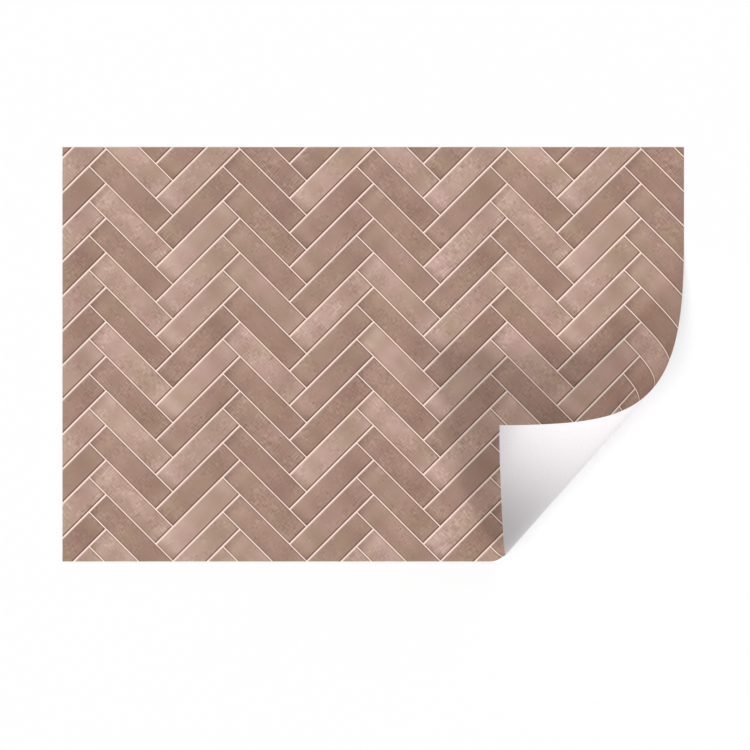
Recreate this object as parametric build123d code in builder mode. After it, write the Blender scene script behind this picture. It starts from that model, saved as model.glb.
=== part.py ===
from build123d import *
from math import comb
import os

os.makedirs("parts", exist_ok=True)

# Driving dimensions in millimetres. The flat sheet's middle is over the origin.
sheet_length = 1200.0
sheet_width = 800.0
film_thickness = 0.25
liner_thickness = 0.15

# Where the curl leaves the floor on the right and the front edge, measured from the cut corner
curl_start_right = 637.0
curl_start_front = 375.0

# How far each edge runs on level before it lifts
right_lead = 158.0
front_lead = 50.0

# The lifted corner, and the points that pull the two edges over to it as they roll.
# Each is given as in from the right edge, back from the front edge, and up.
corner_tip = (356.0, 263.5, 180.0)
right_roll_outer = (0.0, 258.0, 186.0)
right_roll_inner = (112.0, 278.0, 80.0)
right_roll_top = (242.0, 261.0, 188.0)
front_roll_foot = (356.0, 75.0, 44.0)
front_roll_outer = (335.0, -118.0, 103.0)
front_roll_top = (359.0, 132.5, 160.0)

# The curl is bent in straight strips, the last few of them left as the flat corner
strips = 60
corner_strips = 3
corner_at = 1 - corner_strips / strips

right = sheet_length / 2
back = sheet_width / 2
front = -back


def by_corner(place):
    inset, setback, height = place
    return Vector(right - inset, front + setback, height)


# Both edges of the curl are Bezier curves from the floor to the lifted corner
right_edge = [
    Vector(right, front + curl_start_right, 0),
    Vector(right, front + curl_start_right - right_lead, 0),
    by_corner(right_roll_outer),
    by_corner(right_roll_inner),
    by_corner(right_roll_top),
    by_corner(corner_tip),
]
front_edge = [
    Vector(right - curl_start_front, front, 0),
    Vector(right - curl_start_front + front_lead, front, 0),
    by_corner(front_roll_foot),
    by_corner(front_roll_outer),
    by_corner(front_roll_top),
    by_corner(corner_tip),
]


def on_edge(edge, at):
    degree = len(edge) - 1
    point = Vector(0, 0, 0)
    for i, pull in enumerate(edge):
        point += pull * (comb(degree, i) * at**i * (1 - at) ** (degree - i))
    return point


def along_edge(edge, at):
    return on_edge([after - before for before, after in zip(edge, edge[1:])], at)


def across(at):
    # A straight line over the curl, from the right edge to where the front edge lies in the
    # same bending plane, as paper and film bend only one way at a time
    p = on_edge(right_edge, at)
    low, high = 0.0, 1.0
    for _ in range(40):
        middle = (low + high) / 2
        q = on_edge(front_edge, middle)
        lean = along_edge(right_edge, at).cross(along_edge(front_edge, middle)).dot(q - p)
        if lean < 0:
            low = middle
        else:
            high = middle
    return p, on_edge(front_edge, (low + high) / 2)


class Strip:
    # One straight line over the curl, with the plane of the sheet's section there
    def __init__(self, at):
        if at == 0:
            p, q = right_edge[0], front_edge[0]
            self.printed_side = Vector(0, 0, 1)
        else:
            p, q = across(at)
            travel = along_edge(right_edge, at) if at < corner_at else right_edge[-1] - p
            self.printed_side = (q - p).cross(travel).normalized()
        self.length = (q - p).length
        run = (q - p).normalized()
        self.section = Plane(origin=p, x_dir=run, z_dir=run.cross(self.printed_side))
        self.face = Plane(origin=p, x_dir=run, z_dir=self.printed_side)


bends = [Strip(i / strips) for i in range(strips - corner_strips + 1)]
flat_outline = [
    (-right, front),
    (right - curl_start_front, front),
    (right, front + curl_start_right),
    (right, back),
    (-right, back),
    (-right, front),
]
tip_on_face = bends[-1].face.to_local_coords(right_edge[-1])
corner_outline = [(0, 0), (bends[-1].length, 0), (tip_on_face.X, tip_on_face.Y), (0, 0)]

# The white backing paper, flat on the floor and turned over with the corner
with BuildPart() as release_liner:
    with BuildSketch(Plane.XY):
        with BuildLine():
            Polyline(*flat_outline)
        make_face()
    extrude(amount=liner_thickness)
    for bend in bends:
        with BuildSketch(bend.section):
            Rectangle(bend.length, liner_thickness, align=(Align.MIN, Align.MIN))
    loft(ruled=True)
    with BuildSketch(bends[-1].face):
        with BuildLine():
            Polyline(*corner_outline)
        make_face()
    extrude(amount=liner_thickness)
release_liner.part.label = "release_liner"

# The printed vinyl film, on the backing paper all over
with BuildPart() as printed_film:
    with BuildSketch(Plane.XY.offset(liner_thickness)):
        with BuildLine():
            Polyline(*flat_outline)
        make_face()
    extrude(amount=film_thickness)
    for bend in bends:
        with BuildSketch(bend.section):
            with Locations((0, liner_thickness)):
                Rectangle(bend.length, film_thickness, align=(Align.MIN, Align.MIN))
    loft(ruled=True)
    with BuildSketch(bends[-1].face.offset(liner_thickness)):
        with BuildLine():
            Polyline(*corner_outline)
        make_face()
    extrude(amount=film_thickness)
printed_film.part.label = "printed_film"

export_step(release_liner.part, "parts/release_liner.step")
export_step(printed_film.part, "parts/printed_film.step")
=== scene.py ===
import math
import bpy
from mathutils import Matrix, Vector


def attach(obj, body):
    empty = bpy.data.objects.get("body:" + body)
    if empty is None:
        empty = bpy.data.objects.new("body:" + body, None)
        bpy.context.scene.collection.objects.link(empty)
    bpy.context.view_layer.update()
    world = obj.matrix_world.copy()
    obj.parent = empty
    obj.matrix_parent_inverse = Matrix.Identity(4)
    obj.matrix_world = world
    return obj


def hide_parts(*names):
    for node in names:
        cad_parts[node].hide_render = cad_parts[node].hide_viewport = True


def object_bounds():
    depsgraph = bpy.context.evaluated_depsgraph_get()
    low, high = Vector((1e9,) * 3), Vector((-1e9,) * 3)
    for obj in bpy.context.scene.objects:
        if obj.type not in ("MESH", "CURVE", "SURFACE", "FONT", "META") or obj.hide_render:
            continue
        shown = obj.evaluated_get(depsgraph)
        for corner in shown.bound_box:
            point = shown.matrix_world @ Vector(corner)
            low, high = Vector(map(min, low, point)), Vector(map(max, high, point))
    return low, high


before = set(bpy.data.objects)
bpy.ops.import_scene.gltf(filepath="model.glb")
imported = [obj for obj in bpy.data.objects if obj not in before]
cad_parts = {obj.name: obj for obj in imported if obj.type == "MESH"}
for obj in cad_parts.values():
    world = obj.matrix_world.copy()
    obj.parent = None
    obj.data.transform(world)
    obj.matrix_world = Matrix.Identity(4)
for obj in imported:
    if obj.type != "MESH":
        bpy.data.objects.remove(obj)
cadLow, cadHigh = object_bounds()
print("frame loaded, box", [round(v, 4) for v in (*cadLow, *cadHigh)])

# The sheet as it was cut, and where its corner has gone, in metres.
# The curl's points are in from the right edge, back from the front edge, and up.
sheet = {
    "length": round(cadHigh[0] - cadLow[0], 6),  # the frame's own, to the micrometre
    "width": round(cadHigh[1] - cadLow[1], 6),
    "filmThickness": 0.00025,
    "linerThickness": 0.00015,
    "curlStartRight": 0.637,
    "curlStartFront": 0.375,
    "rightLead": 0.158,
    "frontLead": 0.050,
    "cornerTip": (0.356, 0.2635, 0.180),
    "rightPulls": [(0.0, 0.258, 0.186), (0.112, 0.278, 0.080), (0.242, 0.261, 0.188)],
    "frontPulls": [(0.356, 0.075, 0.044), (0.335, -0.118, 0.103), (0.359, 0.1325, 0.160)],
    "heightShare": 0.998,  # so that the smooth curl is no higher than the part's, whose corner is flat
    "curlRows": 150,  # lines over the curl
    "flatRows": 10,  # lines over each half of the flat part
    "across": 33,  # points along each line
    "edgeSteps": 600,  # in which the length of an edge is measured
    "halvings": 40,  # of the stretch of front edge in which a line's far end is looked for
    "weldDistance": 0.000001,
    "creaseAngle": 40.0,  # in degrees, past which a bend is a cut edge
}
rightX, backY = sheet["length"] / 2, sheet["width"] / 2
frontY = -backY


# Colour and node helpers

def toLinear(hexColour):
    channels = [int(hexColour[i:i + 2], 16) / 255 for i in (1, 3, 5)]
    linear = [c / 12.92 if c <= 0.04045 else ((c + 0.055) / 1.055) ** 2.4 for c in channels]
    return (*linear, 1.0)


def addNode(tree, kind, inputs=(), **settings):
    # settings are the node's own. Each input, by place or by name, is a value, a socket, or a node
    # whose first live output is meant.
    node = tree.nodes.new(kind)
    for name, value in settings.items():
        setattr(node, name, value)
    for name, value in inputs.items() if isinstance(inputs, dict) else enumerate(inputs):
        if isinstance(value, bpy.types.Node):
            value = next(socket for socket in value.outputs if socket.enabled)
        if isinstance(value, bpy.types.NodeSocket):
            tree.links.new(value, node.inputs[name])
        else:
            node.inputs[name].default_value = value
    return node


# The curl's two edges

def byCorner(place):
    inset, setback, height = place
    return Vector((rightX - inset, frontY + setback, height * sheet["heightShare"]))


curlEdges = {
    "right": [
        Vector((rightX, frontY + sheet["curlStartRight"], 0)),
        Vector((rightX, frontY + sheet["curlStartRight"] - sheet["rightLead"], 0)),
        *[byCorner(p) for p in sheet["rightPulls"]],
        byCorner(sheet["cornerTip"]),
    ],
    "front": [
        Vector((rightX - sheet["curlStartFront"], frontY, 0)),
        Vector((rightX - sheet["curlStartFront"] + sheet["frontLead"], frontY, 0)),
        *[byCorner(p) for p in sheet["frontPulls"]],
        byCorner(sheet["cornerTip"]),
    ],
}


def onEdge(edge, at):
    degree = len(edge) - 1
    weights = [math.comb(degree, i) * at ** i * (1 - at) ** (degree - i) for i in range(degree + 1)]
    return sum((pull * weight for pull, weight in zip(edge, weights)), Vector((0, 0, 0)))


def alongEdge(edge, at):
    return onEdge([after - before for before, after in zip(edge, edge[1:])], at)


def facingPlace(at):
    # where the front edge lies in the same bending plane as the right edge at this place
    front = curlEdges["front"]
    start, travel = onEdge(curlEdges["right"], at), alongEdge(curlEdges["right"], at)
    low, high = 0.0, 1.0
    for _ in range(sheet["halvings"]):
        middle = (low + high) / 2
        lean = travel.cross(alongEdge(front, middle)).dot(onEdge(front, middle) - start)
        low, high = (middle, high) if lean < 0 else (low, middle)
    return (low + high) / 2


def sharesOfLength(edge, places):
    # how far along the edge each place is, as a share of its length
    steps = sheet["edgeSteps"]
    walked, last, shares = [0.0], onEdge(edge, 0), []
    for i in range(1, steps + 1):
        here = onEdge(edge, i / steps)
        walked.append(walked[-1] + (here - last).length)
        last = here
    for place in places:
        i = min(int(place * steps), steps - 1)
        shares.append((walked[i] + (walked[i + 1] - walked[i]) * (place * steps - i)) / walked[-1])
    return shares


def makeRails():
    # Two lines of points along the sheet's rim, at the two ends of every ruled line.
    # Each point also holds where it was while the whole sheet was flat.
    rows, flatRows = sheet["curlRows"], sheet["flatRows"]
    rightPlaces = [i / rows for i in range(rows + 1)]
    frontPlaces = [0.0] + [facingPlace(at) for at in rightPlaces[1:-1]] + [1.0]
    backLeft, corner = Vector((-rightX, backY, 0)), Vector((rightX, frontY, 0))
    backRight, frontLeft = Vector((rightX, backY, 0)), Vector((-rightX, frontY, 0))
    rails = {}
    for side, turn, places in (("right", backRight, rightPlaces), ("front", frontLeft, frontPlaces)):
        edge = curlEdges[side]
        level = [start.lerp(end, i / flatRows) for start, end in ((backLeft, turn), (turn, edge[0]))
                 for i in range(flatRows)]
        points = level + [onEdge(edge, at) for at in places]
        flat = level + [edge[0].lerp(corner, share) for share in sharesOfLength(edge, places)]
        mesh = bpy.data.meshes.new(side + "Rail")
        mesh.from_pydata(points, [(i, i + 1) for i in range(len(points) - 1)], [])
        flatPlaces = mesh.attributes.new("flatPlace", "FLOAT_VECTOR", "POINT")
        for held, place in zip(flatPlaces.data, flat):
            held.vector = place
        rails[side] = bpy.data.objects.new(side + "Rail", mesh)
        bpy.context.scene.collection.objects.link(rails[side])
    return rails


# The sheet between its rails, as a node tree

def ruledSheetTree():
    tree = bpy.data.node_groups.new("ruledSheet", "GeometryNodeTree")
    tree.interface.new_socket("Geometry", in_out="OUTPUT", socket_type="NodeSocketGeometry")
    for name, kind in (("Right Rail", "Object"), ("Front Rail", "Object"), ("Across", "Int"),
                       ("Above Floor Side", "Float"), ("Thickness", "Float"), ("Face Up", "Material"),
                       ("Face Down", "Material"), ("Cut Edge", "Material")):
        tree.interface.new_socket(name, in_out="INPUT", socket_type="NodeSocket" + kind)
    weld = sheet["weldDistance"]
    given = addNode(tree, "NodeGroupInput").outputs
    rails = [addNode(tree, "GeometryNodeObjectInfo", {"Object": given[side]}).outputs["Geometry"]
             for side in ("Front Rail", "Right Rail")]
    rows = addNode(tree, "GeometryNodeAttributeDomainSize", [rails[0]])
    grid = addNode(tree, "GeometryNodeMeshGrid", {"Vertices X": rows, "Vertices Y": given["Across"]})
    # The grid numbers its points along Y first, so the number gives the ruled line and the place on it
    index = addNode(tree, "GeometryNodeInputIndex")
    line = addNode(tree, "FunctionNodeIntegerMath", [index, given["Across"]], operation="DIVIDE")
    step = addNode(tree, "FunctionNodeIntegerMath", [index, given["Across"]], operation="MODULO")
    last = addNode(tree, "FunctionNodeIntegerMath", [given["Across"], 1], operation="SUBTRACT")
    place = addNode(tree, "ShaderNodeMath", [step, last], operation="DIVIDE")

    def between(field):
        ends = [addNode(tree, "GeometryNodeSampleIndex", {"Geometry": rail, "Value": field, "Index": line},
                        data_type="FLOAT_VECTOR") for rail in rails]
        return addNode(tree, "ShaderNodeMix", {"Factor": place, "A": ends[0], "B": ends[1]},
                       data_type="VECTOR")

    wasFlat = addNode(tree, "GeometryNodeInputNamedAttribute", {"Name": "flatPlace"},
                      data_type="FLOAT_VECTOR")
    onPoints = addNode(tree, "GeometryNodeFieldOnDomain", [between(wasFlat)], data_type="FLOAT_VECTOR",
                       domain="POINT")
    flat = addNode(tree, "GeometryNodeStoreNamedAttribute",
                   {"Geometry": grid, "Name": "flatSheet", "Value": onPoints},
                   data_type="FLOAT2", domain="CORNER")
    bent = addNode(tree, "GeometryNodeSetPosition",
                   {"Geometry": flat, "Position": between(addNode(tree, "GeometryNodeInputPosition"))})
    # The lines close to a point at the back left and at the lifted corner
    closed = addNode(tree, "GeometryNodeMergeByDistance", {"Geometry": bent, "Distance": weld})
    normal = addNode(tree, "GeometryNodeInputNormal")
    lift = addNode(tree, "ShaderNodeVectorMath", {0: normal, "Scale": given["Above Floor Side"]},
                   operation="SCALE")
    under = addNode(tree, "GeometryNodeSetPosition", {"Geometry": closed, "Offset": lift})
    raised = addNode(tree, "GeometryNodeExtrudeMesh",
                     {"Mesh": under, "Offset Scale": given["Thickness"], "Individual": False}, mode="FACES")
    both = addNode(tree, "GeometryNodeJoinGeometry", [raised])
    tree.links.new(addNode(tree, "GeometryNodeFlipFaces", [under]).outputs[0], both.inputs[0])
    welded = addNode(tree, "GeometryNodeMergeByDistance", {"Geometry": both, "Distance": weld})
    bend = addNode(tree, "GeometryNodeInputMeshEdgeAngle")
    gentle = addNode(tree, "ShaderNodeMath", [bend, math.radians(sheet["creaseAngle"])],
                     operation="LESS_THAN")
    smooth = addNode(tree, "GeometryNodeSetShadeSmooth", {"Geometry": welded, "Shade Smooth": gentle},
                     domain="EDGE")
    solid = addNode(tree, "GeometryNodeRealizeInstances", [smooth])
    for faces, material in ((True, "Face Down"), (raised.outputs["Top"], "Face Up"),
                            (raised.outputs["Side"], "Cut Edge")):
        solid = addNode(tree, "GeometryNodeSetMaterial",
                        {"Geometry": solid, "Selection": faces, "Material": given[material]})
    addNode(tree, "NodeGroupOutput", [solid])
    return tree


def socketId(tree, name):
    return next(item.identifier for item in tree.interface.items_tree
                if item.name == name and item.in_out == "INPUT")


def makeLayer(name, tree, rails, above, thickness, faceUp, faceDown, cutEdge):
    layer = bpy.data.objects.new(name, bpy.data.meshes.new(name))
    bpy.context.scene.collection.objects.link(layer)
    nodes = layer.modifiers.new("ruledSheet", "NODES")
    nodes.node_group = tree
    values = {"Right Rail": rails["right"], "Front Rail": rails["front"], "Across": sheet["across"],
              "Above Floor Side": above, "Thickness": thickness, "Face Up": faceUp, "Face Down": faceDown,
              "Cut Edge": cutEdge}
    for label, value in values.items():
        nodes[socketId(tree, label)] = value
    bpy.context.view_layer.update()
    graph = bpy.context.evaluated_depsgraph_get()
    mesh = bpy.data.meshes.new_from_object(layer.evaluated_get(graph), preserve_all_data_layers=True,
                                           depsgraph=graph)
    layer.modifiers.remove(nodes)
    layer.data = mesh
    mesh.name = name
    mesh.materials.pop(index=0)  # the grid's own empty slot
    return layer


# Printed vinyl: calendered PVC film, ink-jet printed with a herringbone of glazed tiles, laminated satin.
# The eye sees clouded, handmade-looking tiles under one even, dull gloss, and joints with no depth.
tilePrint = {
    "tileLength": 0.1826,  # with its joint, in metres
    "tileWidth": 0.0472,
    "firstCorner": (-0.5489, 0.3634),  # on the flat sheet
    "repeatColumns": 3,  # the print starts again after so many zigzags to the side
    "repeatRows": 8,  # and so many tiles down
    "tones": {0: "#957463", 0.5: "#9D7D6C", 0.53: "#AC8D7D", 1: "#B49585"},  # a darker and a paler firing
    "alternate": 0.4,  # 0 leaves the firing to chance, 1 makes every second tile of a column pale
    "chance": 0,  # another number gives another print
    "tints": {0.36: "#F8FAF3", 0.5: "#FCFAF9", 0.64: "#FFFAFF"},  # olive, plain and rose, over the tone
    "tintSize": 0.07,
    "cloudSize": (0.03, 0.08),  # across and along the tile
    "cloudDetail": 2.5,
    "cloudDepth": 0.56,
    "cloudsApart": 9.0,  # each tile's clouds come from another place, up to so far away
    "alongLight": {0: 0.83, 0.05: 0.98, 0.12: 1.15, 0.24: 1.0, 0.37: 1.07, 0.5: 1.015, 0.62: 1.0,
                   0.72: 0.9, 0.8: 0.85, 0.88: 0.935, 0.95: 1.03, 1: 0.96},  # from its left end to its right
    "acrossLight": 0.18,  # from side to side where the tile starts, fading to none at its other end
    "smudge": 0.22,  # how dark the corner is where each tile starts
    "smudgeReach": (0.004, 0.02),  # darkest up to, and gone by
    "threadWidth": 0.0015,  # of the linen mark as it is printed, coarser than the cloth
    "threadLength": 0.0105,
    "threadDepth": 0.8,
    "linenPatch": 0.03,  # the size of the patches that show it
    "linenComesIn": (0.36, 0.64),  # from none to all of it, over the clouds of the patches
    "linenTiles": 0.2,  # how much more of it some tiles have than others
    "linenFalling": 0.05,  # and the falling tiles than the rising ones
    "patchDetail": 1.0,  # of the clouds of tint, linen and pebbles
    "shadeOf": (0.88, 1.15, 1.3),  # how strongly shade tells on red, green and blue: dark glaze is warmer
    "risingColour": "#F2E0D3",
    "fallingColour": "#FBECE2",
    "hairlineColour": "#4A2010",
    "risingJoint": (0.0003, 0.0029, 0.00145),  # full to, faded out by, and how far on its upper left side
    "hairline": (0.0024, 0.0042),
    "fallingJoint": 0.0008,  # half its width
    "fallingShade": 0.26,
    "fallingShadeReach": (0.0026, 0.0044),
    "lineSoftness": 0.0003,
    "roughness": (0.54, 0.62),
    "pebbleSize": 0.0012,  # of the satin laminate, some six times as coarse as it is so that it shows
    "pebbleHeight": 0.000008,
}
cloudSpan = (0.3, 0.7)  # where nearly all of a cloud texture lies between 0 and 1


def herringbone(tree, flat):
    # Which tile each point of the flat sheet is on: whether it falls to the right, its row and its column,
    # and how far the point is across and along it
    length, width = tilePrint["tileLength"], tilePrint["tileWidth"]
    cornerX, cornerY = tilePrint["firstCorner"]
    # turned by 45 degrees, so that u runs down to the right and v up to the right
    turned = addNode(tree, "ShaderNodeMapping", {
        "Vector": flat, "Rotation": (0, 0, math.radians(45)),
        "Location": ((cornerY - cornerX) * math.sqrt(0.5), -(cornerX + cornerY) * math.sqrt(0.5), 0)})
    u, v = addNode(tree, "ShaderNodeSeparateXYZ", [turned]).outputs[:2]
    upRight = addNode(tree, "ShaderNodeMath", [u, v], operation="ADD")
    zigzags = addNode(tree, "ShaderNodeMath", [upRight, 2 * length], operation="DIVIDE")
    slants = []
    for headStart, acrossAxis, alongAxis, startAlong in ((0, v, u, 0), (0.5, u, v, length)):
        counted = addNode(tree, "ShaderNodeMath", [zigzags, headStart], operation="ADD")
        column = addNode(tree, "ShaderNodeMath", [counted], operation="FLOOR")
        jump = addNode(tree, "ShaderNodeMath", [column, length], operation="MULTIPLY")
        free = addNode(tree, "ShaderNodeMath", [acrossAxis, jump], operation="SUBTRACT")
        rows = addNode(tree, "ShaderNodeMath", [free, width], operation="DIVIDE")
        row = addNode(tree, "ShaderNodeMath", [rows], operation="FLOOR")
        shift = addNode(tree, "ShaderNodeMath", [row, width], operation="MULTIPLY")
        across = addNode(tree, "ShaderNodeMath", [free, shift], operation="SUBTRACT")
        ahead = addNode(tree, "ShaderNodeMath", [alongAxis, jump], operation="SUBTRACT")
        start = addNode(tree, "ShaderNodeMath", [shift, startAlong], operation="ADD")
        along = addNode(tree, "ShaderNodeMath", [ahead, start], operation="ADD")
        slants.append((row, column, across, along))
    falling, rising = slants
    started = addNode(tree, "ShaderNodeMath", [falling[3], 0], operation="GREATER_THAN")
    ended = addNode(tree, "ShaderNodeMath", [falling[3], length], operation="LESS_THAN")
    falls = addNode(tree, "ShaderNodeMath", [started, ended], operation="MULTIPLY")
    return falls, *[addNode(tree, "ShaderNodeMix", {"Factor": falls, "A": ifRising, "B": ifFalling},
                            data_type="FLOAT") for ifFalling, ifRising in zip(falling, rising)]


def rollDice(tree, falls, row, column):
    # one number, and one colour, for each tile of the repeat
    rowName = addNode(tree, "ShaderNodeMath", [row, tilePrint["repeatRows"]], operation="FLOORED_MODULO")
    columnName = addNode(tree, "ShaderNodeMath", [column, tilePrint["repeatColumns"]],
                         operation="FLOORED_MODULO")
    slantName = addNode(tree, "ShaderNodeMath", [falls, tilePrint["chance"]], operation="ADD")
    tileName = addNode(tree, "ShaderNodeCombineXYZ", [rowName, columnName, slantName])
    return addNode(tree, "ShaderNodeTexWhiteNoise", [tileName])


def glazeColour(tree, row, dice, onTile):
    # the tone of the tile's firing, under clouds of tint
    secondTile = addNode(tree, "ShaderNodeMath", [row, 2], operation="FLOORED_MODULO")
    firing = addNode(tree, "ShaderNodeMix", {"Factor": tilePrint["alternate"], "A": dice, "B": secondTile},
                     data_type="FLOAT")
    clouds = addNode(tree, "ShaderNodeTexNoise", {
        "Vector": onTile, "Scale": 1 / tilePrint["tintSize"], "Detail": tilePrint["patchDetail"]})
    ramps = []
    for factor, colours in ((firing, tilePrint["tones"]), (clouds.outputs["Color"], tilePrint["tints"])):
        ramps.append(addNode(tree, "ShaderNodeValToRGB", [factor]))
        stops = ramps[-1].color_ramp.elements
        while len(stops) < len(colours):
            stops.new(0.5)
        for stop, (at, colour) in zip(stops, colours.items()):
            stop.position, stop.color = at, toLinear(colour)
    return addNode(tree, "ShaderNodeMix", {"Factor": 1.0, "A": ramps[0], "B": ramps[1]}, data_type="RGBA",
                   blend_type="MULTIPLY")


def lightOverTile(tree, falls, across, along):
    # the shades along the tile from end to end, and across it
    length, width = tilePrint["tileLength"], tilePrint["tileWidth"]
    shareAlong = addNode(tree, "ShaderNodeMath", [along, length], operation="DIVIDE")
    endToEnd = addNode(tree, "ShaderNodeFloatCurve", {"Value": shareAlong})
    # the curve ends at 1, so it holds half of each light
    halves = {at: light / 2 for at, light in tilePrint["alongLight"].items()}
    points = endToEnd.mapping.curves[0].points
    for end in (0, 1):
        points[end].location = (end, halves.pop(end))
    for at, half in halves.items():
        points.new(at, half)
    endToEnd.mapping.update()
    alongShade = addNode(tree, "ShaderNodeMath", [endToEnd, 2], operation="MULTIPLY")
    # a falling tile is lighter on its upper side and a rising one on its left side
    slope = addNode(tree, "ShaderNodeMapRange", [along, 0, length, tilePrint["acrossLight"], 0])
    sideways = addNode(tree, "ShaderNodeMapRange", [across, 0, width, -0.5, 0.5])
    upSlant = addNode(tree, "ShaderNodeMapRange", [falls, 0, 1, -1, 1])
    upwards = addNode(tree, "ShaderNodeMath", [sideways, upSlant], operation="MULTIPLY")
    return alongShade, addNode(tree, "ShaderNodeMath", [slope, upwards, 1], operation="MULTIPLY_ADD")


def linenMark(tree, falls, dice, onTile):
    # a shade in patches, as if the glaze were pressed with cloth: short threads both ways
    fine, coarse = 1 / tilePrint["threadWidth"], 1 / tilePrint["threadLength"]
    threads = []
    for scale in ((fine, coarse, 1), (coarse, fine, 1)):
        drawn = addNode(tree, "ShaderNodeVectorMath", [onTile, scale], operation="MULTIPLY")
        threads.append(addNode(tree, "ShaderNodeTexNoise", {"Vector": drawn, "Scale": 1.0, "Detail": 0.0}))
    woven = addNode(tree, "ShaderNodeMath", threads, operation="ADD")
    linen = addNode(tree, "ShaderNodeMath", [woven, 1], operation="SUBTRACT")
    cover = addNode(tree, "ShaderNodeTexNoise", {
        "Vector": onTile, "Scale": 1 / tilePrint["linenPatch"], "Detail": tilePrint["patchDetail"]})
    secondDie = addNode(tree, "ShaderNodeSeparateColor", [dice.outputs["Color"]]).outputs["Green"]
    for chooser, amount in ((secondDie, tilePrint["linenTiles"]), (falls, tilePrint["linenFalling"])):
        more = addNode(tree, "ShaderNodeMapRange", [chooser, 0, 1, -amount / 2, amount / 2])
        cover = addNode(tree, "ShaderNodeMath", [cover, more], operation="ADD")
    here = addNode(tree, "ShaderNodeMapRange", [cover, *tilePrint["linenComesIn"], 0,
                                                tilePrint["threadDepth"]])
    return addNode(tree, "ShaderNodeMath", [linen, here, 1], operation="MULTIPLY_ADD")


def printedJoints(tree, falls, across, along):
    # The lines of the joints by colour, from the lowest to the top one, and the shades beside them
    look, soft = tilePrint, tilePrint["lineSoftness"]
    fromAcross, fromAlong = [(near, addNode(tree, "ShaderNodeMath", [size, near], operation="SUBTRACT"))
                             for near, size in ((across, look["tileWidth"]), (along, look["tileLength"]))]
    # How far the point is from the joints that rise and the joints that fall to the right, and from the side
    # where the tile starts: a falling tile starts at its lower left corner, a rising one at its bottom corner
    pairs = (*zip(fromAcross, fromAlong), *zip(fromAlong, fromAcross), (fromAcross[1], fromAcross[0]))
    risingLow, risingHigh, fallingLow, fallingHigh, startSide = [
        addNode(tree, "ShaderNodeMix", {"Factor": falls, "A": ifRising, "B": ifFalling}, data_type="FLOAT")
        for ifRising, ifFalling in pairs]

    fullTo, fadedBy, upperSide = look["risingJoint"]
    belowIt = addNode(tree, "ShaderNodeMapRange", [risingLow, fullTo, fadedBy, 1, 0])
    aboveIt = addNode(tree, "ShaderNodeMapRange", [risingHigh, upperSide - soft, upperSide + soft, 1, 0])
    risingLine = addNode(tree, "ShaderNodeMath", [belowIt, aboveIt], operation="MAXIMUM")
    nearFalling = addNode(tree, "ShaderNodeMath", [fallingLow, fallingHigh], operation="MINIMUM")
    half = look["fallingJoint"]
    fallingLine = addNode(tree, "ShaderNodeMapRange", [nearFalling, half - soft, half + soft, 1, 0])
    hairFrom, hairTo = look["hairline"]
    hairStarts = addNode(tree, "ShaderNodeMapRange", [risingHigh, hairFrom - soft, hairFrom + soft])
    hairEnds = addNode(tree, "ShaderNodeMapRange", [risingHigh, hairTo - soft, hairTo + soft, 1, 0])
    hairline = addNode(tree, "ShaderNodeMath", [hairStarts, hairEnds], operation="MULTIPLY")
    lines = {"hairlineColour": hairline, "fallingColour": fallingLine, "risingColour": risingLine}

    startPlace = addNode(tree, "ShaderNodeCombineXYZ", [along, startSide, 0])
    fromStart = addNode(tree, "ShaderNodeVectorMath", [startPlace], operation="LENGTH").outputs["Value"]
    smudge = addNode(tree, "ShaderNodeMapRange", [fromStart, *look["smudgeReach"], 1 - look["smudge"], 1])
    jointShade = addNode(tree, "ShaderNodeMapRange", [nearFalling, *look["fallingShadeReach"],
                                                      1 - look["fallingShade"], 1])
    return lines, smudge, jointShade


def printedVinyl():
    material = bpy.data.materials.new("printed PVC film, satin laminated")
    material.use_nodes = True
    tree = material.node_tree
    look = tilePrint
    flat = addNode(tree, "ShaderNodeUVMap", uv_map="flatSheet")
    falls, row, column, across, along = herringbone(tree, flat)
    dice = rollDice(tree, falls, row, column)
    apart = addNode(tree, "ShaderNodeVectorMath", {0: dice.outputs["Color"], "Scale": look["cloudsApart"]},
                    operation="SCALE")
    fromCorner = addNode(tree, "ShaderNodeCombineXYZ", [across, along, 0])
    onTile = addNode(tree, "ShaderNodeVectorMath", [fromCorner, apart], operation="ADD")
    drawnOut = addNode(tree, "ShaderNodeVectorMath", [onTile, (*look["cloudSize"], 1)], operation="DIVIDE")
    cloud = addNode(tree, "ShaderNodeTexNoise", {"Vector": drawnOut, "Scale": 1.0,
                                                 "Detail": look["cloudDetail"]})

    lines, smudge, jointShade = printedJoints(tree, falls, across, along)
    shade = addNode(tree, "ShaderNodeMapRange", [cloud, 0, 1, 1 - look["cloudDepth"] / 2,
                                                 1 + look["cloudDepth"] / 2])
    for other in (*lightOverTile(tree, falls, across, along), linenMark(tree, falls, dice, onTile), smudge,
                  jointShade):
        shade = addNode(tree, "ShaderNodeMath", [shade, other], operation="MULTIPLY")
    shadeOf = addNode(tree, "ShaderNodeVectorMath", [shade, look["shadeOf"]], operation="POWER")
    glaze = glazeColour(tree, row, dice, onTile)
    printed = addNode(tree, "ShaderNodeVectorMath", [glaze, shadeOf], operation="MULTIPLY")
    for colour, line in lines.items():
        printed = addNode(tree, "ShaderNodeMix",
                          {"Factor": line, "A": printed, "B": toLinear(look[colour])}, data_type="RGBA")

    gloss = addNode(tree, "ShaderNodeMapRange", [cloud, *cloudSpan, *look["roughness"]])
    pebble = addNode(tree, "ShaderNodeTexNoise", {
        "Vector": flat, "Scale": 1 / look["pebbleSize"], "Detail": look["patchDetail"]})
    relief = addNode(tree, "ShaderNodeBump", {"Height": pebble, "Distance": look["pebbleHeight"]})
    shader = tree.nodes["Principled BSDF"]
    for output, name in ((printed.outputs["Result"], "Base Color"), (gloss.outputs[0], "Roughness"),
                         (relief.outputs[0], "Normal")):
        tree.links.new(output, shader.inputs[name])
    return material


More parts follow.
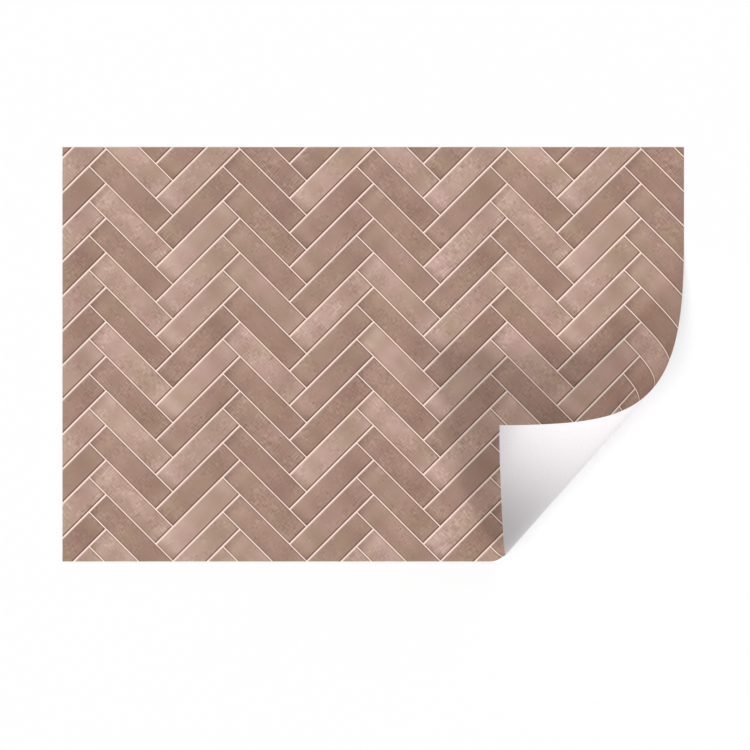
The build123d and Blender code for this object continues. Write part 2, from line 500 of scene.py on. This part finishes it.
# Backing paper: bleached kraft, rolled smooth between hot rollers and siliconed. The eye sees a near-white,
# faintly rosy sheet with a slippery half-gloss, and close to it the faint cloudiness of the pulp.
paperLook = {
    "colours": ("#E8E3E5", "#EEE9EB"),
    "cloudSize": 0.004,  # the flocs of the pulp
    "roughness": (0.38, 0.46),
    "relief": 0.000015,
}
# Its cut edge: the same pulp without the silicone, so it is matt, fibrous and a little warmer
paperEdgeLook = {
    "colours": ("#D8D4CE", "#E4E0DC"),
    "cloudSize": 0.0006,
    "roughness": (0.75, 0.9),
    "relief": 0.00002,
}
# The film's cut edge and glued side: bare PVC drawn through by a knife, so paler than the print and dull
filmEdgeLook = {
    "colours": ("#E3D3C7", "#EDDDD1"),
    "cloudSize": 0.001,
    "roughness": (0.55, 0.65),
    "relief": 0.00001,
}
cloudDetail = 4.0  # how fine the clouds of paper and cut edges go


def cloudedMaterial(name, look):
    material = bpy.data.materials.new(name)
    material.use_nodes = True
    tree = material.node_tree
    flat = addNode(tree, "ShaderNodeUVMap", uv_map="flatSheet")
    cloud = addNode(tree, "ShaderNodeTexNoise", {"Vector": flat, "Scale": 1 / look["cloudSize"],
                                                 "Detail": cloudDetail})
    thick = addNode(tree, "ShaderNodeMapRange", [cloud, *cloudSpan])
    low, high = [toLinear(colour) for colour in look["colours"]]
    colour = addNode(tree, "ShaderNodeMix", {"Factor": thick, "A": low, "B": high}, data_type="RGBA")
    gloss = addNode(tree, "ShaderNodeMapRange", [thick, 0, 1, *look["roughness"]])
    relief = addNode(tree, "ShaderNodeBump", {"Height": cloud, "Distance": look["relief"]})
    shader = tree.nodes["Principled BSDF"]
    for output, name in ((colour.outputs["Result"], "Base Color"), (gloss.outputs[0], "Roughness"),
                         (relief.outputs[0], "Normal")):
        tree.links.new(output, shader.inputs[name])
    return material


rails = makeRails()
sheetTree = ruledSheetTree()
vinyl = printedVinyl()
paper = cloudedMaterial("bleached kraft paper, supercalendered and siliconed", paperLook)
paperEdge = cloudedMaterial("knife-cut edge of bleached kraft paper", paperEdgeLook)
filmEdge = cloudedMaterial("knife-cut edge of white PVC film", filmEdgeLook)
liner = makeLayer("backingPaper", sheetTree, rails, 0.0, sheet["linerThickness"], paper, paper, paperEdge)
film = makeLayer("printedFilm", sheetTree, rails, sheet["linerThickness"], sheet["filmThickness"], vinyl,
                 filmEdge, filmEdge)
for piece, node, slotName in ((liner, "release_liner", "backing_paper"),
                              (film, "printed_film", "printed_vinyl")):
    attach(piece, "root")
    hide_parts(node)
for rail in rails.values():
    bpy.data.objects.remove(rail)
print("sheet made:", len(film.data.polygons), "film faces,", len(liner.data.polygons), "paper faces")

# Stage: white seamless paper, a soft sky, a lamp overhead and a soft key from the lower right.
# In place of the overhead lamp the floor has a high one of its own. It is so broad that the curl's shadow on
# the floor is faint and wide, and stands to the front left so that the shadow falls to the right of the rim.
# A low fill from the upper left lights the rising print. A small lamp beside the curl is for the backing
# paper alone, so the turned corner goes from white to grey.
stageLook = {
    "floorSize": 14.0,
    "floorGap": 0.0002,  # from the floor up to the sheet
    "floorTone": 0.82,  # plain white to the camera and in reflections, as the sky is
    "sky": 0.35,
    "overhead": 0.35,  # each lamp's share of the light on a level surface
    "overheadFrom": (-0.08, 0.08, 1.0),
    "overheadSoftness": 8.0,  # in degrees
    "floorLamp": 0.344,
    "floorLampFrom": (-0.25, -0.25, 1.0),
    "floorLampSoftness": 50.0,
    "key": 0.3,
    "keyFrom": (0.75, -0.91, 1.0),
    "keySoftness": 13.0,
    "fill": 0.026,
    "fillFrom": (-0.9, 0.43, 0.11),
    "fillSoftness": 16.0,
    "paperLamp": 61.0,  # in watts
    "paperLampPlace": (0.9, -0.5, 1.35),
    "paperLampAim": (0.469, -0.016, 0.15),
    "paperLampCone": 35.0,  # in degrees, all of it fading
    "paperLampRadius": 0.1,
}


def seenOrMirrored(tree):
    # 1 where the camera sees the background, or glossy or clear stuff shows it
    rays = addNode(tree, "ShaderNodeLightPath").outputs
    mirrored = addNode(tree, "ShaderNodeMath", [rays["Is Glossy Ray"], rays["Is Transmission Ray"]],
                       operation="MAXIMUM")
    return addNode(tree, "ShaderNodeMath", [rays["Is Camera Ray"], mirrored], operation="MAXIMUM")


def makeFloor():
    half = stageLook["floorSize"] / 2
    mesh = bpy.data.meshes.new("floor")
    corners = [(-half, -half, 0), (half, -half, 0), (half, half, 0), (-half, half, 0)]
    mesh.from_pydata(corners, [], [(0, 1, 2, 3)])
    floor = bpy.data.objects.new("floor", mesh)
    bpy.context.scene.collection.objects.link(floor)
    floor.location.z = -stageLook["floorGap"]
    material = bpy.data.materials.new("white seamless studio paper")
    material.use_nodes = True
    tree = material.node_tree
    tree.nodes.remove(tree.nodes["Principled BSDF"])
    tone = addNode(tree, "ShaderNodeMapRange", [seenOrMirrored(tree), 0, 1, stageLook["floorTone"], 1])
    # its underside is plain white, for views in which the frame reaches under the floor
    under = addNode(tree, "ShaderNodeNewGeometry").outputs["Backfacing"]
    upper, lower = addNode(tree, "ShaderNodeBsdfDiffuse", [tone]), addNode(tree, "ShaderNodeEmission")
    surface = addNode(tree, "ShaderNodeMixShader", [under, upper, lower])
    tree.links.new(surface.outputs[0], tree.nodes["Material Output"].inputs["Surface"])
    mesh.materials.append(material)
    return floor


def makeLamp(name, kind, lit, place, aim=(0, 0, 0), **settings):
    # lit names the pieces that the lamp is for
    data = bpy.data.lights.new(name, kind)
    for label, value in settings.items():
        setattr(data, label, value)
    lamp = bpy.data.objects.new(name, data)
    lamp.location = place
    lamp.rotation_euler = (Vector(aim) - Vector(place)).to_track_quat("-Z", "Y").to_euler()
    bpy.context.scene.collection.objects.link(lamp)
    receivers = bpy.data.collections.new("lit by " + name)
    for piece in lit:
        receivers.objects.link(piece)
    lamp.light_linking.receiver_collection = receivers


def makeLights(film, liner, floor):
    world = bpy.data.worlds.new("plain studio")
    bpy.context.scene.world = world
    world.use_nodes = True
    tree = world.node_tree
    sky = tree.nodes["Background"]
    sky.inputs["Color"].default_value = (1, 1, 1, 1)
    strength = addNode(tree, "ShaderNodeMapRange", [seenOrMirrored(tree), 0, 1, stageLook["sky"], 1])
    tree.links.new(strength.outputs[0], sky.inputs["Strength"])
    for name, lit in (("overhead", [film]), ("floorLamp", [floor]), ("key", [film, floor]),
                      ("fill", [film])):
        toLamp = Vector(stageLook[name + "From"]).normalized()
        makeLamp(name, "SUN", lit, toLamp, energy=stageLook[name] * math.pi / toLamp.z,
                 angle=math.radians(stageLook[name + "Softness"]))
    makeLamp("paperLamp", "SPOT", [liner], stageLook["paperLampPlace"], stageLook["paperLampAim"],
             energy=stageLook["paperLamp"], spot_size=math.radians(stageLook["paperLampCone"]),
             spot_blend=1.0, shadow_soft_size=stageLook["paperLampRadius"])


# The camera looks straight down on the sheet, and without perspective, so nothing leans
cameraView = {
    "metresPerPixel": 0.001931,
    "framePixels": 750,
    "place": (0.0034, -0.0399, 4.0),
    "sees": (0.1, 20.0),  # from so near to so far
}


def makeCamera():
    lens = bpy.data.cameras.new("fromAbove")
    lens.type = "ORTHO"
    lens.ortho_scale = cameraView["metresPerPixel"] * cameraView["framePixels"]
    lens.clip_start, lens.clip_end = cameraView["sees"]
    camera = bpy.data.objects.new("fromAbove", lens)
    camera.location = cameraView["place"]
    bpy.context.scene.collection.objects.link(camera)
    bpy.context.scene.camera = camera


floor = makeFloor()
makeLights(film, liner, floor)
makeCamera()
bpy.context.scene.view_settings.view_transform = "Standard"
print("stage, lights and camera set")
